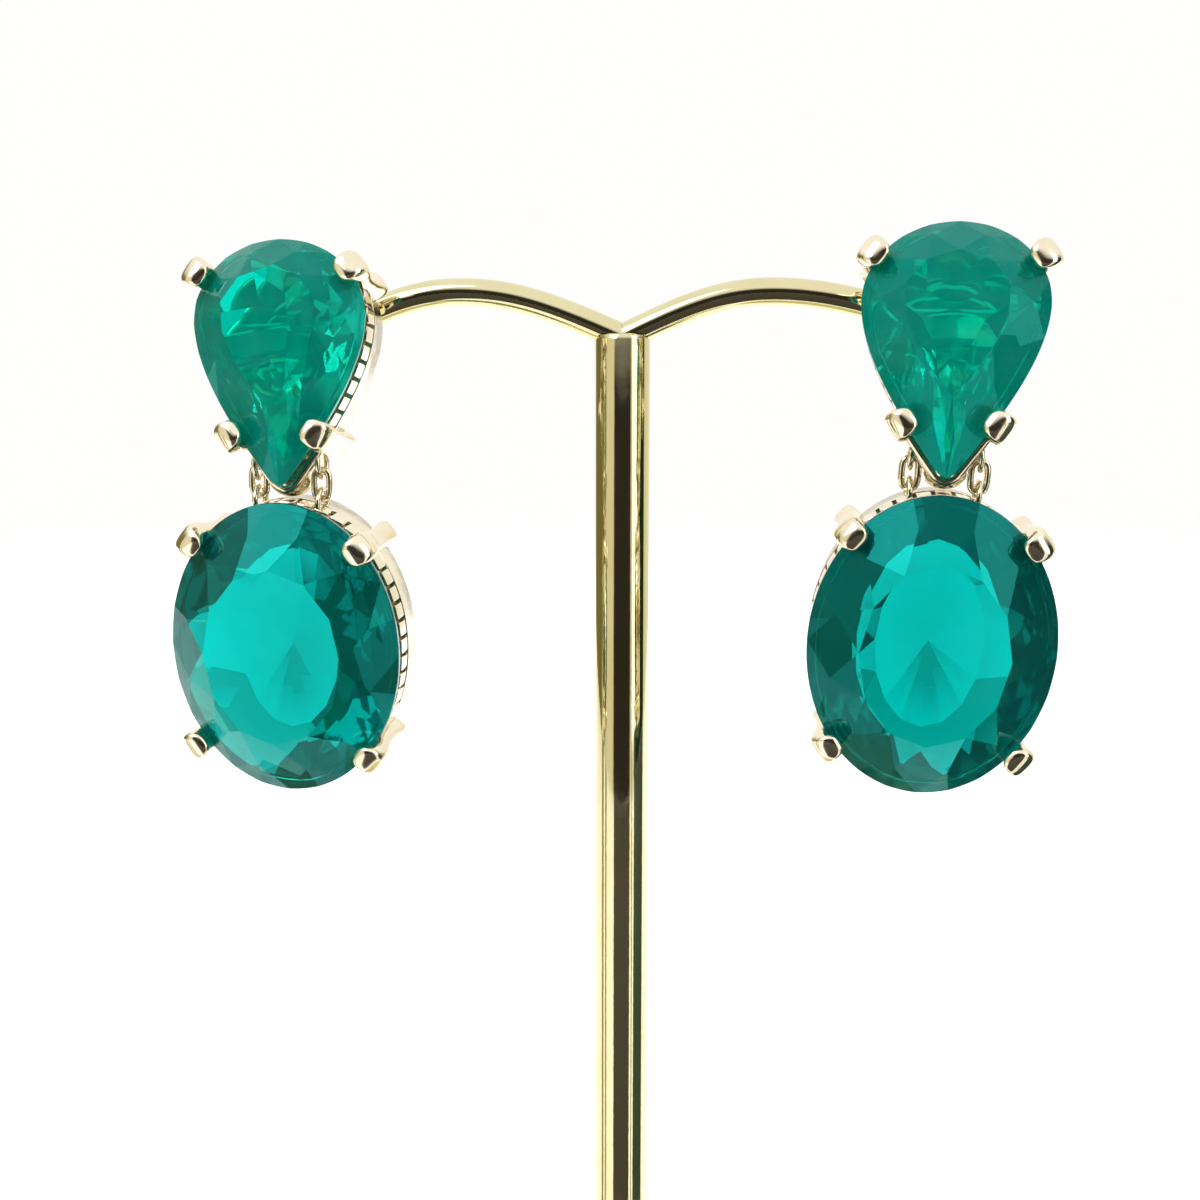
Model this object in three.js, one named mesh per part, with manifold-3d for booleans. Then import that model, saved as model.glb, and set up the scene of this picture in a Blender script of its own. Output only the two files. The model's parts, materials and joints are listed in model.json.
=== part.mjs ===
// A pair of drop earrings hanging on a small wire stand, in millimetres, +Z up.
// Each earring is a pear cut stone over an oval cut stone, both held by four claws in a
// gallery wall with a notched front edge, and joined by two wire links.
// The origin is the middle of the stand's underside, and the stones face -Y.

import * as THREE from "three";
import { mergeVertices } from "three/addons/utils/BufferGeometryUtils.js";
import Module from "manifold-3d";

const wasm = await Module();
wasm.setup();

// Stones: every one lies in its own frame, with its girdle in the plane y = 0,
// its table towards -Y and its top towards +Z.
const OVAL = { halfWidth: 8, halfHeight: 10 };
const PEAR = { halfWidth: 5.85, headRise: 5.1, pointDrop: 11.1, noseWidth: 0.5, noseRise: 0.28 };
// Each cut: table and keel are shares of the outline, and the keel is the shallow middle of the back
const OVAL_CUT = { crown: 2.3, table: 0.6, girdle: 0.5, pavilion: 3.1, keel: 0.54, keelDepth: 1.1 };
const PEAR_CUT = { crown: 1.9, table: 0.56, girdle: 0.45, pavilion: 3, keel: 0.36, keelDepth: 0.9 };
const STAR_RISE = 0.5; // height of a star facet's lower corner, as a share of the crown
const PEAR_HEAD_SHARE = 0.4; // share of half its outline that is the round head
const PEAR_SIDE = { shoulder: 0.3, waist: 0.52, waistDrop: 0.67 }; // bend, as shares of half width and point drop
const LOWER_HALF_REACH = 0.6; // how far the lower halves reach down the pavilion, as a share
const OUTLINE_STEPS = 24; // steps on half an outline, 3 for each half facet of a stone

// Settings
const WALL = { inset: 0.3, thickness: 0.9, front: 0.95, back: 5 };
const SEAT_GAP = 0.12; // between a stone and its metal
const NOTCH = { pitch: 1.1, radius: 0.34, depth: 1.15 };
const CLAW = { width: 1.5, depth: 1.15, out: 0.35, headRadius: 1.1, headRise: 0.95, headOut: 0.3 };
const CLAW_HEAD_FLATNESS = 0.78; // depth of a claw's head as a share of its width
const FOOT = { radius: 0.95, out: 0.4, lift: 0.55 };
const OVAL_CLAWS = [0.245, 0.735]; // places on half the outline, as shares from its top
const PEAR_CLAWS = [0.26, 0.785];

// Links and the eyelets that they pass through
const EYELET = { radius: 0.9, wire: 0.5, bite: 0.3, back: 2.1, place: 0.862 };
const LINK = { wire: 0.58, pivotDrop: 0.66, depth: 2.4, toeOut: 8 };
const PLAY = 0.26; // between a link and the eyelet that it hangs on

// Ear post, bridge and nut
const POST = { radius: 0.45, reach: 10, tip: 0.3, below: 0.8 };
const BRIDGE = { height: 1.8, thickness: 0.8, overlap: 0.1 };
const NUT = { flange: 3.7, flangeThickness: 0.6, collar: 1.5, taper: 0.3, depth: 2.3, bore: 0.1 };
const BACK_GAP = 0.3; // between bridge, arm eye and nut
const PAST = 1; // how far a cutting tool reaches past what it cuts

// Stand
const BASE = { radius: 22, thickness: 3, edge: 0.8 };
const COLUMN = { radius: 1.9, height: 84, capRise: 0.32 }; // the fork above the underside, the cap above the fork
const ARM = { radius: 0.95, rise: 3.1 };
// How the arms bend, as shares of their runs and rises: up from the fork, then over the crest
const ARM_BEND = { foot: 0.45, footRise: 0.72, shoulder: 0.68, over: 0.36, tail: 0.7, tailFall: 0.45 };
const EYE = { radius: 1.9, thickness: 1.4, clearance: 0.15 };

// Each arm's reach, the place of its crest and the height of its end above the fork, and how
// the pear and the drop hang, in degrees: turn about Z and lean about their own Y
const SIDES = [
  { name: "left", sign: -1, reach: 21.6, crest: 11.3, endRise: -0.7,
    pear: { turn: -4, lean: -1.8 }, drop: { turn: -5.5, lean: 1.5 } },
  { name: "right", sign: 1, reach: 22, crest: 10.2, endRise: 0.2,
    pear: { turn: -5, lean: 1.2 }, drop: { turn: -0.5, lean: 3 } },
];
const PEAR_TILT = 11; // how far the pear stones look up

// Weight of a cubic millimetre, in milligrams, for working out how a drop hangs
const STONE_DENSITY = 2.5;
const METAL_DENSITY = 7.85;

const deg = THREE.MathUtils.degToRad;
const stoneGreen = new THREE.MeshStandardMaterial({ color: 0x008c7c, roughness: 0.05, metalness: 0 });
const paleGold = new THREE.MeshStandardMaterial({ color: 0xe6dcc0, roughness: 0.15, metalness: 1 });
const standMetal = new THREE.MeshStandardMaterial({ color: 0xcfc38f, roughness: 0.12, metalness: 1 });

// Solids and meshes

function toSolid(geometry, matrix = new THREE.Matrix4()) {
  const flat = geometry.index ? geometry.toNonIndexed() : geometry.clone();
  flat.deleteAttribute("normal");
  flat.deleteAttribute("uv");
  const merged = mergeVertices(flat.applyMatrix4(matrix), 1e-4);
  const corners = [...merged.index.array];
  const triangles = [];
  for (let n = 0; n < corners.length; n += 3) {
    const [a, b, c] = corners.slice(n, n + 3);
    if (a !== b && b !== c && c !== a) triangles.push(a, b, c);
  }
  return new wasm.Manifold(
    new wasm.Mesh({
      numProp: 3,
      vertProperties: merged.attributes.position.array,
      triVerts: new Uint32Array(triangles),
    }),
  );
}

function toGeometry(solid) {
  const mesh = solid.getMesh();
  const geometry = new THREE.BufferGeometry();
  geometry.setAttribute("position", new THREE.BufferAttribute(new Float32Array(mesh.vertProperties), 3));
  geometry.setIndex(new THREE.BufferAttribute(new Uint32Array(mesh.triVerts), 1));
  return geometry;
}

function toMesh(name, solid, material) {
  const mesh = new THREE.Mesh(toGeometry(solid), material);
  mesh.name = name;
  return mesh;
}

const joined = (solids) => solids.reduce((all, one) => all.add(one));
const cutBy = (solid, tools) => tools.reduce((left, tool) => left.subtract(tool), solid);
const shifted = (x, y, z) => new THREE.Matrix4().makeTranslation(x, y, z);

// Weight, and weight times place, of a closed solid.
function weigh(solid, density) {
  const mesh = solid.getMesh();
  const corner = (n) => new THREE.Vector3().fromArray(mesh.vertProperties, 3 * mesh.triVerts[n]);
  const moment = new THREE.Vector3();
  let weight = 0;
  for (let n = 0; n < mesh.triVerts.length; n += 3) {
    const [a, b, c] = [corner(n), corner(n + 1), corner(n + 2)];
    const share = (density * a.dot(b.clone().cross(c))) / 6;
    weight += share;
    moment.addScaledVector(a.add(b).add(c), share / 4);
  }
  return { weight, moment };
}

// Outlines: a stone's shape is a curve from its top down its right side to its bottom,
// with s running from 0 to 1. The left side mirrors it.

function ovalOutline(size) {
  return (s) => {
    const angle = Math.PI * (0.5 - s);
    return new THREE.Vector2(size.halfWidth * Math.cos(angle), size.halfHeight * Math.sin(angle));
  };
}

function pearOutline(size) {
  const noseShare = 1 - 1 / OUTLINE_STEPS;
  const { halfWidth, headRise, pointDrop, noseWidth, noseRise } = size;
  const side = new THREE.CubicBezierCurve(
    new THREE.Vector2(halfWidth, 0),
    new THREE.Vector2(halfWidth, -PEAR_SIDE.shoulder * pointDrop),
    new THREE.Vector2(PEAR_SIDE.waist * halfWidth, -PEAR_SIDE.waistDrop * pointDrop),
    new THREE.Vector2(noseWidth, noseRise - pointDrop),
  );
  const point = new THREE.Vector2(0, -pointDrop);
  return (s) => {
    if (s <= PEAR_HEAD_SHARE) {
      const angle = 0.5 * Math.PI * (1 - s / PEAR_HEAD_SHARE);
      return new THREE.Vector2(halfWidth * Math.cos(angle), headRise * Math.sin(angle));
    }
    if (s <= noseShare) return side.getPointAt((s - PEAR_HEAD_SHARE) / (noseShare - PEAR_HEAD_SHARE));
    return side.getPointAt(1).lerp(point, (s - noseShare) / (1 - noseShare));
  };
}

function normalAt(outline, s) {
  const step = 1e-3;
  const along = outline(Math.min(1, s + step)).sub(outline(Math.max(0, s - step)));
  if (s <= 0) return new THREE.Vector2(0, 1);
  if (s >= 1) return new THREE.Vector2(0, -1);
  return new THREE.Vector2(-along.y, along.x).normalize();
}

// The outline moved outwards by grow, as closed points. Where the two sides would cross
// near a sharp end, they meet on the middle line instead.
function outlinePoints(outline, grow, steps = OUTLINE_STEPS) {
  const right = [];
  for (let n = 0; n <= steps; n++) {
    const point = outline(n / steps).addScaledVector(normalAt(outline, n / steps), grow);
    const last = right[right.length - 1];
    if (n === 0 || (n === steps && last.x > 0)) point.x = 0;
    else if (last.x === 0 && n > 1) point.copy(last);
    else if (point.x < 1e-3) point.lerp(last, point.x / (point.x - last.x)).setX(0);
    right.push(point);
  }
  const left = right.slice(1, -1).reverse();
  return [...right, ...left.map((p) => new THREE.Vector2(-p.x, p.y))];
}

// A closed body through outlines of equally many points, one behind the other.
function prismSolid(layers) {
  const rings = layers.map(({ points, y }) => points.map((p) => new THREE.Vector3(p.x, y, p.y)));
  const middle = (ring) => new THREE.Vector3(0, ring[0].y, 0);
  const triangles = [];
  const count = rings[0].length;
  const last = rings[rings.length - 1];
  for (let n = 0; n < count; n++) {
    const next = (n + 1) % count;
    for (let k = 0; k + 1 < rings.length; k++) {
      const [front, back] = [rings[k], rings[k + 1]];
      triangles.push(front[n], front[next], back[next], front[n], back[next], back[n]);
    }
    triangles.push(middle(rings[0]), rings[0][next], rings[0][n]);
    triangles.push(middle(last), last[n], last[next]);
  }
  return toSolid(new THREE.BufferGeometry().setFromPoints(triangles));
}

// Stones, cut from 8 mains, 8 stars and 16 halves on each side of the girdle, and 8 keel facets at the back

// Point at height y, shared by two main facets, each through a girdle point along the outline.
function meetOfMains(first, second, y) {
  const line = (main) => {
    const place = main.foot.clone().lerp(main.head, (y - main.footY) / (main.headY - main.footY));
    return { normal: main.normal, offset: place.dot(main.normal) };
  };
  const a = line(first);
  const b = line(second);
  const det = a.normal.x * b.normal.y - a.normal.y * b.normal.x;
  return new THREE.Vector2(
    (a.offset * b.normal.y - b.offset * a.normal.y) / det,
    (a.normal.x * b.offset - b.normal.x * a.offset) / det,
  );
}

function heightOnPlane(a, b, c, point) {
  const normal = b.clone().sub(a).cross(c.clone().sub(a));
  return a.y - (normal.x * (point.x - a.x) + normal.z * (point.y - a.z)) / normal.y;
}

// One side of a stone: its outline points with the height of each on its half facet, and its facets.
// Its middle is flat, or rises to a tip.
function cutSide(outline, grow, girdleY, headY, headShare, meetY, tipY = headY) {
  const centre = new THREE.Vector2(0, 0);
  const steps = 2 * OUTLINE_STEPS;
  const perFacet = OUTLINE_STEPS / 8;
  const at = (n) => {
    const turn = ((n % steps) + steps) % steps;
    const s = turn <= OUTLINE_STEPS ? turn / OUTLINE_STEPS : 2 - turn / OUTLINE_STEPS;
    const normal = normalAt(outline, s);
    const point = outline(s).addScaledVector(normal, grow);
    if (turn > OUTLINE_STEPS) {
      point.x *= -1;
      normal.x *= -1;
    }
    if (turn % OUTLINE_STEPS === 0) point.x = 0;
    return { point, normal };
  };
  const high = (p, y) => new THREE.Vector3(p.x, y, p.y);
  const mains = [];
  for (let k = 0; k < 8; k++) {
    const { point, normal } = at(2 * perFacet * k);
    const head = centre.clone().lerp(point, headShare);
    mains.push({ foot: point, head, normal, footY: girdleY, headY });
  }
  const rim = [];
  const facets = [];
  mains.forEach((main, k) => {
    const next = mains[(k + 1) % 8];
    const meet = high(meetOfMains(main, next, meetY), meetY);
    const from = high(main.foot, girdleY);
    const middle = high(at(2 * perFacet * k + perFacet).point, girdleY);
    const to = high(next.foot, girdleY);
    [[from, middle], [middle, to]].forEach(([start, end], half) => {
      const arc = [];
      for (let n = 0; n <= perFacet; n++) {
        const { point } = at(2 * perFacet * k + half * perFacet + n);
        arc.push(high(point, heightOnPlane(start, end, meet, point)));
      }
      facets.push([meet, ...arc]);
      rim.push(...arc.slice(0, -1));
    });
    main.after = meet;
    next.before = meet;
  });
  mains.forEach((main, k) => {
    const foot = high(main.foot, girdleY);
    const head = high(main.head, headY);
    facets.push([head, main.before, foot, main.after]);
    const nextHead = high(mains[(k + 1) % 8].head, headY);
    facets.push([head, main.after, nextHead]);
    if (tipY !== headY) facets.push([head, nextHead, high(centre, tipY)]);
  });
  if (tipY === headY) facets.push(mains.map((main) => high(main.head, headY)));
  return { rim, facets };
}

function stoneSolid(outline, cut, grow = 0) {
  const halfGirdle = cut.girdle / 2;
  const crownTop = -halfGirdle - cut.crown - grow;
  const crownMeet = -halfGirdle - STAR_RISE * cut.crown - grow;
  const crown = cutSide(outline, grow, -halfGirdle - grow, crownTop, cut.table, crownMeet);
  const keel = halfGirdle + cut.pavilion + grow;
  const lowerMeet = halfGirdle + LOWER_HALF_REACH * cut.pavilion + grow;
  const pavilion = cutSide(outline, grow, halfGirdle + grow, keel, cut.keel, lowerMeet, keel + cut.keelDepth);
  const positions = [];
  const addFacet = (corners, flip) => {
    for (let n = 1; n + 1 < corners.length; n++) {
      const triangle = flip ? [0, n + 1, n] : [0, n, n + 1];
      triangle.forEach((c) => positions.push(...corners[c].toArray()));
    }
  };
  const outwards = (corners) => {
    const [a, b, c] = [corners[0], corners[1], corners[corners.length - 1]];
    const normal = b.clone().sub(a).cross(c.clone().sub(a));
    return normal.dot(a) > 0;
  };
  [...crown.facets, ...pavilion.facets].forEach((corners) => addFacet(corners, !outwards(corners)));
  crown.rim.forEach((top, n) => {
    const next = (n + 1) % crown.rim.length;
    const band = [top, crown.rim[next], pavilion.rim[next], pavilion.rim[n]];
    addFacet(band, !outwards(band));
  });
  const geometry = new THREE.BufferGeometry();
  geometry.setAttribute("position", new THREE.Float32BufferAttribute(positions, 3));
  return toSolid(geometry);
}

// Settings

function wallSolid(outline) {
  const layer = (inset, y) => ({ points: outlinePoints(outline, -inset), y });
  const { inset, thickness, front, back } = WALL;
  const outside = prismSolid([layer(inset, front), layer(inset, back)]);
  const inside = prismSolid([layer(inset + thickness, front - PAST), layer(inset + thickness, back + PAST)]);
  return outside.subtract(inside);
}

// Places a piece on the outline: its x axis points outwards, its z axis along the outline.
function onOutline(outline, s, sign, out, y) {
  const normal = normalAt(outline, s);
  const point = outline(s).addScaledVector(normal, out);
  const outwards = new THREE.Vector3(sign * normal.x, 0, normal.y);
  const back = new THREE.Vector3(0, 1, 0);
  const along = outwards.clone().cross(back);
  const matrix = new THREE.Matrix4().makeBasis(outwards, back, along);
  return matrix.setPosition(sign * point.x, y, point.y);
}

function clawSolids(outline, s, sign) {
  const place = (out, y) => onOutline(outline, s, sign, out, y);
  const stemFront = -CLAW.headRise;
  const stem = new THREE.BoxGeometry(CLAW.depth, WALL.back - stemFront - FOOT.lift, CLAW.width);
  const head = new THREE.SphereGeometry(CLAW.headRadius, 8, 6);
  head.scale(1, CLAW_HEAD_FLATNESS, 1);
  const foot = new THREE.SphereGeometry(FOOT.radius, 8, 5);
  return [
    toSolid(stem, place(CLAW.out, (WALL.back - FOOT.lift + stemFront) / 2)),
    toSolid(head, place(CLAW.headOut, -CLAW.headRise)),
    toSolid(foot, place(FOOT.out, WALL.back - FOOT.lift)),
  ];
}

function bothSides(shares, make) {
  return shares.flatMap((s) => [-1, 1].flatMap((sign) => make(s, sign)));
}

// Small pointed cuts across the wall's front edge, left out where a claw stands.
function notchSolids(outline, claws) {
  const fineSteps = 400;
  const place = (n) => outline(n / fineSteps).addScaledVector(normalAt(outline, n / fineSteps), -WALL.inset);
  const clawPoints = claws.map((s) => outline(s));
  const clear = CLAW.width / 2 + NOTCH.radius;
  const notches = [];
  let walked = NOTCH.pitch / 2;
  for (let n = 1; n <= fineSteps; n++) {
    walked += place(n).distanceTo(place(n - 1));
    if (walked < NOTCH.pitch) continue;
    walked -= NOTCH.pitch;
    if (clawPoints.some((claw) => claw.distanceTo(place(n)) < clear + WALL.inset)) continue;
    if (place(n).x < NOTCH.pitch / 2) continue;
    for (const sign of [-1, 1]) {
      const cut = new THREE.ConeGeometry(NOTCH.radius, NOTCH.depth, 4);
      const middle = WALL.front + NOTCH.depth / 2;
      notches.push(toSolid(cut, onOutline(outline, n / fineSteps, sign, -WALL.inset, middle)));
    }
  }
  return notches;
}

function eyeletSolid(x, z) {
  const ring = new THREE.TorusGeometry(EYELET.radius, EYELET.wire / 2, 5, 12);
  ring.rotateX(Math.PI / 2);
  return toSolid(ring, shifted(x, EYELET.back, z));
}

// Pear setting: where its eyelets sit follows from its outline, and so does the links' spacing.
const pearShape = pearOutline(PEAR);
const ovalShape = ovalOutline(OVAL);
const pearEyeletOut = EYELET.radius + EYELET.wire / 2 - EYELET.bite - WALL.inset;
const pearEyelet = pearShape(EYELET.place).addScaledVector(normalAt(pearShape, EYELET.place), pearEyeletOut);
const linkSpread = pearEyelet.x;
const pearPivot = new THREE.Vector3(0, EYELET.back, pearEyelet.y - EYELET.radius);

// Oval setting: the link passes between its wall and the top of the eyelet.
const wallTop =
  (OVAL.halfHeight - WALL.inset) * Math.sqrt(1 - (linkSpread / (OVAL.halfWidth - WALL.inset)) ** 2);
const ovalPivot = new THREE.Vector3(0, EYELET.back, wallTop + 2 * PLAY + LINK.wire + EYELET.wire / 2);
const ovalEyeletZ = ovalPivot.z - EYELET.radius;

// Ear post and what it carries, all measured back from the pear's girdle
const bridgeBack = WALL.back + BRIDGE.thickness - BRIDGE.overlap;
const eyeMiddle = bridgeBack + BACK_GAP + EYE.thickness / 2;
const nutFront = eyeMiddle + EYE.thickness / 2 + BACK_GAP;
const postEnd = bridgeBack + POST.reach;

function bridgeSolid() {
  const fineSteps = 200;
  let reach = 0;
  for (let n = 0; n <= fineSteps; n++) {
    const point = pearShape(n / fineSteps);
    if (point.y > -POST.below) reach = Math.max(reach, point.x - WALL.inset - WALL.thickness / 2);
  }
  const bar = new THREE.BoxGeometry(2 * reach, BRIDGE.thickness, BRIDGE.height);
  return toSolid(bar, shifted(0, bridgeBack - BRIDGE.thickness / 2, -POST.below));
}

function earPostSolid() {
  const start = bridgeBack - BRIDGE.thickness / 2;
  const profile = [
    new THREE.Vector2(0, start),
    new THREE.Vector2(POST.radius, start),
    new THREE.Vector2(POST.radius, postEnd - POST.tip),
    new THREE.Vector2(POST.radius - POST.tip / 2, postEnd),
    new THREE.Vector2(0, postEnd),
  ];
  return toSolid(new THREE.LatheGeometry(profile, 12), shifted(0, 0, -POST.below));
}

function pearSetting() {
  const metal = joined([
    wallSolid(pearShape),
    ...bothSides(PEAR_CLAWS, (s, sign) => clawSolids(pearShape, s, sign)),
    eyeletSolid(-pearEyelet.x, pearEyelet.y),
    eyeletSolid(pearEyelet.x, pearEyelet.y),
    bridgeSolid(),
    earPostSolid(),
  ]);
  const notches = notchSolids(pearShape, PEAR_CLAWS);
  return cutBy(metal, [stoneSolid(pearShape, PEAR_CUT, SEAT_GAP), joined(notches)]);
}

// Oval setting: its eyelets' lower halves are sunk in the wall, and cut back where the stone is.
function ovalSetting() {
  const metal = joined([
    wallSolid(ovalShape),
    ...bothSides(OVAL_CLAWS, (s, sign) => clawSolids(ovalShape, s, sign)),
    eyeletSolid(-linkSpread, ovalEyeletZ),
    eyeletSolid(linkSpread, ovalEyeletZ),
  ]);
  const notches = notchSolids(ovalShape, OVAL_CLAWS);
  return cutBy(metal, [stoneSolid(ovalShape, OVAL_CUT, SEAT_GAP), joined(notches)]);
}

function nutSolid() {
  const bore = POST.radius + NUT.bore;
  const profile = [
    new THREE.Vector2(bore, nutFront),
    new THREE.Vector2(NUT.flange, nutFront),
    new THREE.Vector2(NUT.flange, nutFront + NUT.flangeThickness),
    new THREE.Vector2(NUT.collar, nutFront + NUT.flangeThickness),
    new THREE.Vector2(NUT.collar - NUT.taper, nutFront + NUT.depth),
    new THREE.Vector2(bore, nutFront + NUT.depth),
    new THREE.Vector2(bore, nutFront),
  ];
  return toSolid(new THREE.LatheGeometry(profile, 20), shifted(0, 0, -POST.below));
}

// A link hangs from its upper pivot at the origin, and carries the drop at its lower pivot.
class LinkPath extends THREE.Curve {
  getPoint(t) {
    const reach = EYELET.wire / 2 + PLAY + LINK.wire / 2;
    const angle = 2 * Math.PI * t;
    const halfLength = LINK.pivotDrop / 2 + reach;
    const halfDepth = (LINK.depth - LINK.wire) / 2;
    return new THREE.Vector3(0, halfDepth * Math.sin(angle), halfLength * Math.cos(angle) - LINK.pivotDrop / 2);
  }
}

function linkSolid(sign) {
  const ring = new THREE.TubeGeometry(new LinkPath(), 16, LINK.wire / 2, 6, true);
  ring.rotateZ(-sign * deg(LINK.toeOut));
  return toSolid(ring, shifted(sign * linkSpread, 0, 0));
}

// Stand

function armSolid(side) {
  const { reach, crest } = side;
  const { rise, radius } = ARM;
  const at = (along, up) => new THREE.Vector3(side.sign * along, 0, COLUMN.height + up);
  const fall = rise - side.endRise;
  const run = reach - crest;
  const path = new THREE.CurvePath();
  path.add(
    new THREE.CubicBezierCurve3(
      at(0, 0),
      at(ARM_BEND.foot * crest, ARM_BEND.footRise * rise),
      at(ARM_BEND.shoulder * crest, rise),
      at(crest, rise),
    ),
  );
  path.add(
    new THREE.CubicBezierCurve3(
      at(crest, rise),
      at(crest + ARM_BEND.over * run, rise),
      at(crest + ARM_BEND.tail * run, rise - ARM_BEND.tailFall * fall),
      at(reach, side.endRise),
    ),
  );
  const section = new THREE.Shape().absarc(0, 0, radius, 0, 2 * Math.PI);
  const tube = new THREE.ExtrudeGeometry(section, { steps: 14, curveSegments: 6, extrudePath: path });
  return toSolid(tube);
}

const turned = ({ turn, lean }) => new THREE.Euler(0, deg(lean), deg(turn), "ZYX");

// The place of one earring: its origin is the middle of the arm's eye, and the ear post
// runs through it along the pear's own y axis.
function earringMatrix(side) {
  const matrix = new THREE.Matrix4().makeRotationFromEuler(turned(side.pear));
  return matrix.setPosition(side.sign * side.reach, 0, COLUMN.height + side.endRise);
}

const tiltMatrix = new THREE.Matrix4().makeRotationX(-deg(PEAR_TILT));
const pearMatrix = tiltMatrix.clone().multiply(shifted(0, -eyeMiddle, POST.below));

function eyeSolids(side) {
  const matrix = earringMatrix(side).multiply(tiltMatrix);
  const pad = toSolid(new THREE.CylinderGeometry(EYE.radius, EYE.radius, EYE.thickness, 20), matrix);
  const bore = POST.radius + EYE.clearance;
  const drill = toSolid(new THREE.CylinderGeometry(bore, bore, 4 * ARM.radius, 12), matrix);
  const space = BACK_GAP / 2 + EYE.thickness / 2;
  const reach = 2 * (PEAR.halfWidth + EYE.radius);
  const tooThick = [-1, 1].map((way) => {
    const slab = new THREE.BoxGeometry(reach, 2 * ARM.radius, reach);
    slab.translate(0, way * (space + ARM.radius), 0);
    return toSolid(slab, matrix);
  });
  return { pad, cuts: [drill, ...tooThick] };
}

function standFrame() {
  const top = COLUMN.height + COLUMN.capRise;
  const length = top - BASE.thickness;
  const column = new THREE.CylinderGeometry(COLUMN.radius, COLUMN.radius, length, 24);
  column.rotateX(Math.PI / 2);
  const parts = [toSolid(column, shifted(0, 0, BASE.thickness + length / 2))];
  const cuts = [];
  for (const side of SIDES) {
    const eye = eyeSolids(side);
    parts.push(armSolid(side), eye.pad);
    cuts.push(...eye.cuts);
  }
  return cutBy(joined(parts), cuts);
}

function standBase() {
  const { radius, thickness, edge } = BASE;
  const profile = [
    new THREE.Vector2(0, 0),
    new THREE.Vector2(radius - edge / 2, 0),
    new THREE.Vector2(radius, edge / 2),
    new THREE.Vector2(radius, thickness - edge),
    new THREE.Vector2(radius - edge, thickness),
    new THREE.Vector2(0, thickness),
  ];
  const disc = new THREE.LatheGeometry(profile, 48);
  disc.rotateX(Math.PI / 2);
  return toSolid(disc);
}

// Assembly

const pearStone = stoneSolid(pearShape, PEAR_CUT);
const ovalStone = stoneSolid(ovalShape, OVAL_CUT);
const pearMetal = pearSetting();
const ovalMetal = ovalSetting();

// A drop hangs with its centre of weight under its pivot, which tips its face down a little.
function hangAngle() {
  const stone = weigh(ovalStone, STONE_DENSITY);
  const metal = weigh(ovalMetal, METAL_DENSITY);
  const centre = stone.moment.add(metal.moment).divideScalar(stone.weight + metal.weight);
  return Math.atan2(ovalPivot.y - centre.y, ovalPivot.z - centre.z);
}

function earring(side) {
  const named = (part) => side.name + "_" + part;
  const pearPlace = earringMatrix(side).multiply(pearMatrix);

  const pear = new THREE.Group();
  pear.applyMatrix4(pearPlace);
  pear.add(
    toMesh(named("pear_setting"), pearMetal, paleGold),
    toMesh(named("pear_stone"), pearStone, stoneGreen),
    toMesh(named("ear_nut"), nutSolid(), paleGold),
  );

  const links = new THREE.Group();
  links.name = named("upper_pivot");
  links.position.copy(pearPivot).applyMatrix4(pearPlace);
  links.rotation.copy(turned(side.drop));
  links.add(
    toMesh(named("link_1"), linkSolid(-1), paleGold),
    toMesh(named("link_2"), linkSolid(1), paleGold),
  );

  const drop = new THREE.Group();
  drop.name = named("lower_pivot");
  drop.position.set(0, 0, -LINK.pivotDrop);
  drop.rotation.x = hangAngle();
  const hung = new THREE.Group();
  hung.position.copy(ovalPivot).negate();
  hung.add(
    toMesh(named("oval_setting"), ovalMetal, paleGold),
    toMesh(named("oval_stone"), ovalStone, stoneGreen),
  );
  drop.add(hung);
  links.add(drop);

  const whole = new THREE.Group();
  whole.add(pear, links);
  return whole;
}

const earringStand = new THREE.Group();
earringStand.add(
  toMesh("stand_base", standBase(), standMetal),
  toMesh("stand_frame", standFrame(), standMetal),
  ...SIDES.map(earring),
);

export default earringStand;
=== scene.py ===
# %% [markdown]
# # A pair of drop earrings on a small metal stand
# Each earring is a pear cut green stone over an oval cut one. Both are held by claws in a
# gallery of pale gold, and two wire links join them.

import json
import math

import bmesh
import bpy
from mathutils import Matrix, Vector


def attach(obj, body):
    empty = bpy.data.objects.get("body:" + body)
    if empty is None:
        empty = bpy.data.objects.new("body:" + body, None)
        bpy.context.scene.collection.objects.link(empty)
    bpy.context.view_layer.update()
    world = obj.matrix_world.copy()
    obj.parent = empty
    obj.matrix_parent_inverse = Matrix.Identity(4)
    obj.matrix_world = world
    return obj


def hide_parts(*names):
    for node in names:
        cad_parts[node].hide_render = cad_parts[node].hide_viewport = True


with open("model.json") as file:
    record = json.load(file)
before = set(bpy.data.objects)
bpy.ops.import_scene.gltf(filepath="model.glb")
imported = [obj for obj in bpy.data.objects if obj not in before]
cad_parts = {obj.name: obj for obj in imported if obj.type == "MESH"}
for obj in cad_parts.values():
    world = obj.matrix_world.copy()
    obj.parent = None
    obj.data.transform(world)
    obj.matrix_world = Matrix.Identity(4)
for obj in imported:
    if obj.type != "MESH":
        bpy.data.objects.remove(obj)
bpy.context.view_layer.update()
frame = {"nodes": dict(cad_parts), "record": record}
nodes = frame["nodes"]
SIDES = ("left", "right")
MM = 0.001

# %% [markdown]
# ## The outlines of the two stones
# Everything in an earring follows the edge of its stone, so the edge is written once as a
# curve. Its share s runs from 0 at the top, down the right side, to 1 at the bottom, and
# the left side mirrors it. Sizes are in millimetres, and a stone's own frame has x to the
# right, z up and its face towards -y.

# %% Outlines
OVAL = dict(half_width=8.0, half_height=10.0)
PEAR = dict(half_width=5.85, head_rise=5.1, point_drop=11.1, nose_width=0.5, nose_rise=0.28)
HEAD_SHARE = 0.4  # where the round head ends and the long side starts
NOSE_SHARE = 1 - 1 / 24  # where the small flat at the point starts
SIDE_BEND = dict(shoulder=0.3, waist=0.52, waist_drop=0.67)  # how full the long side is


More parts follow.
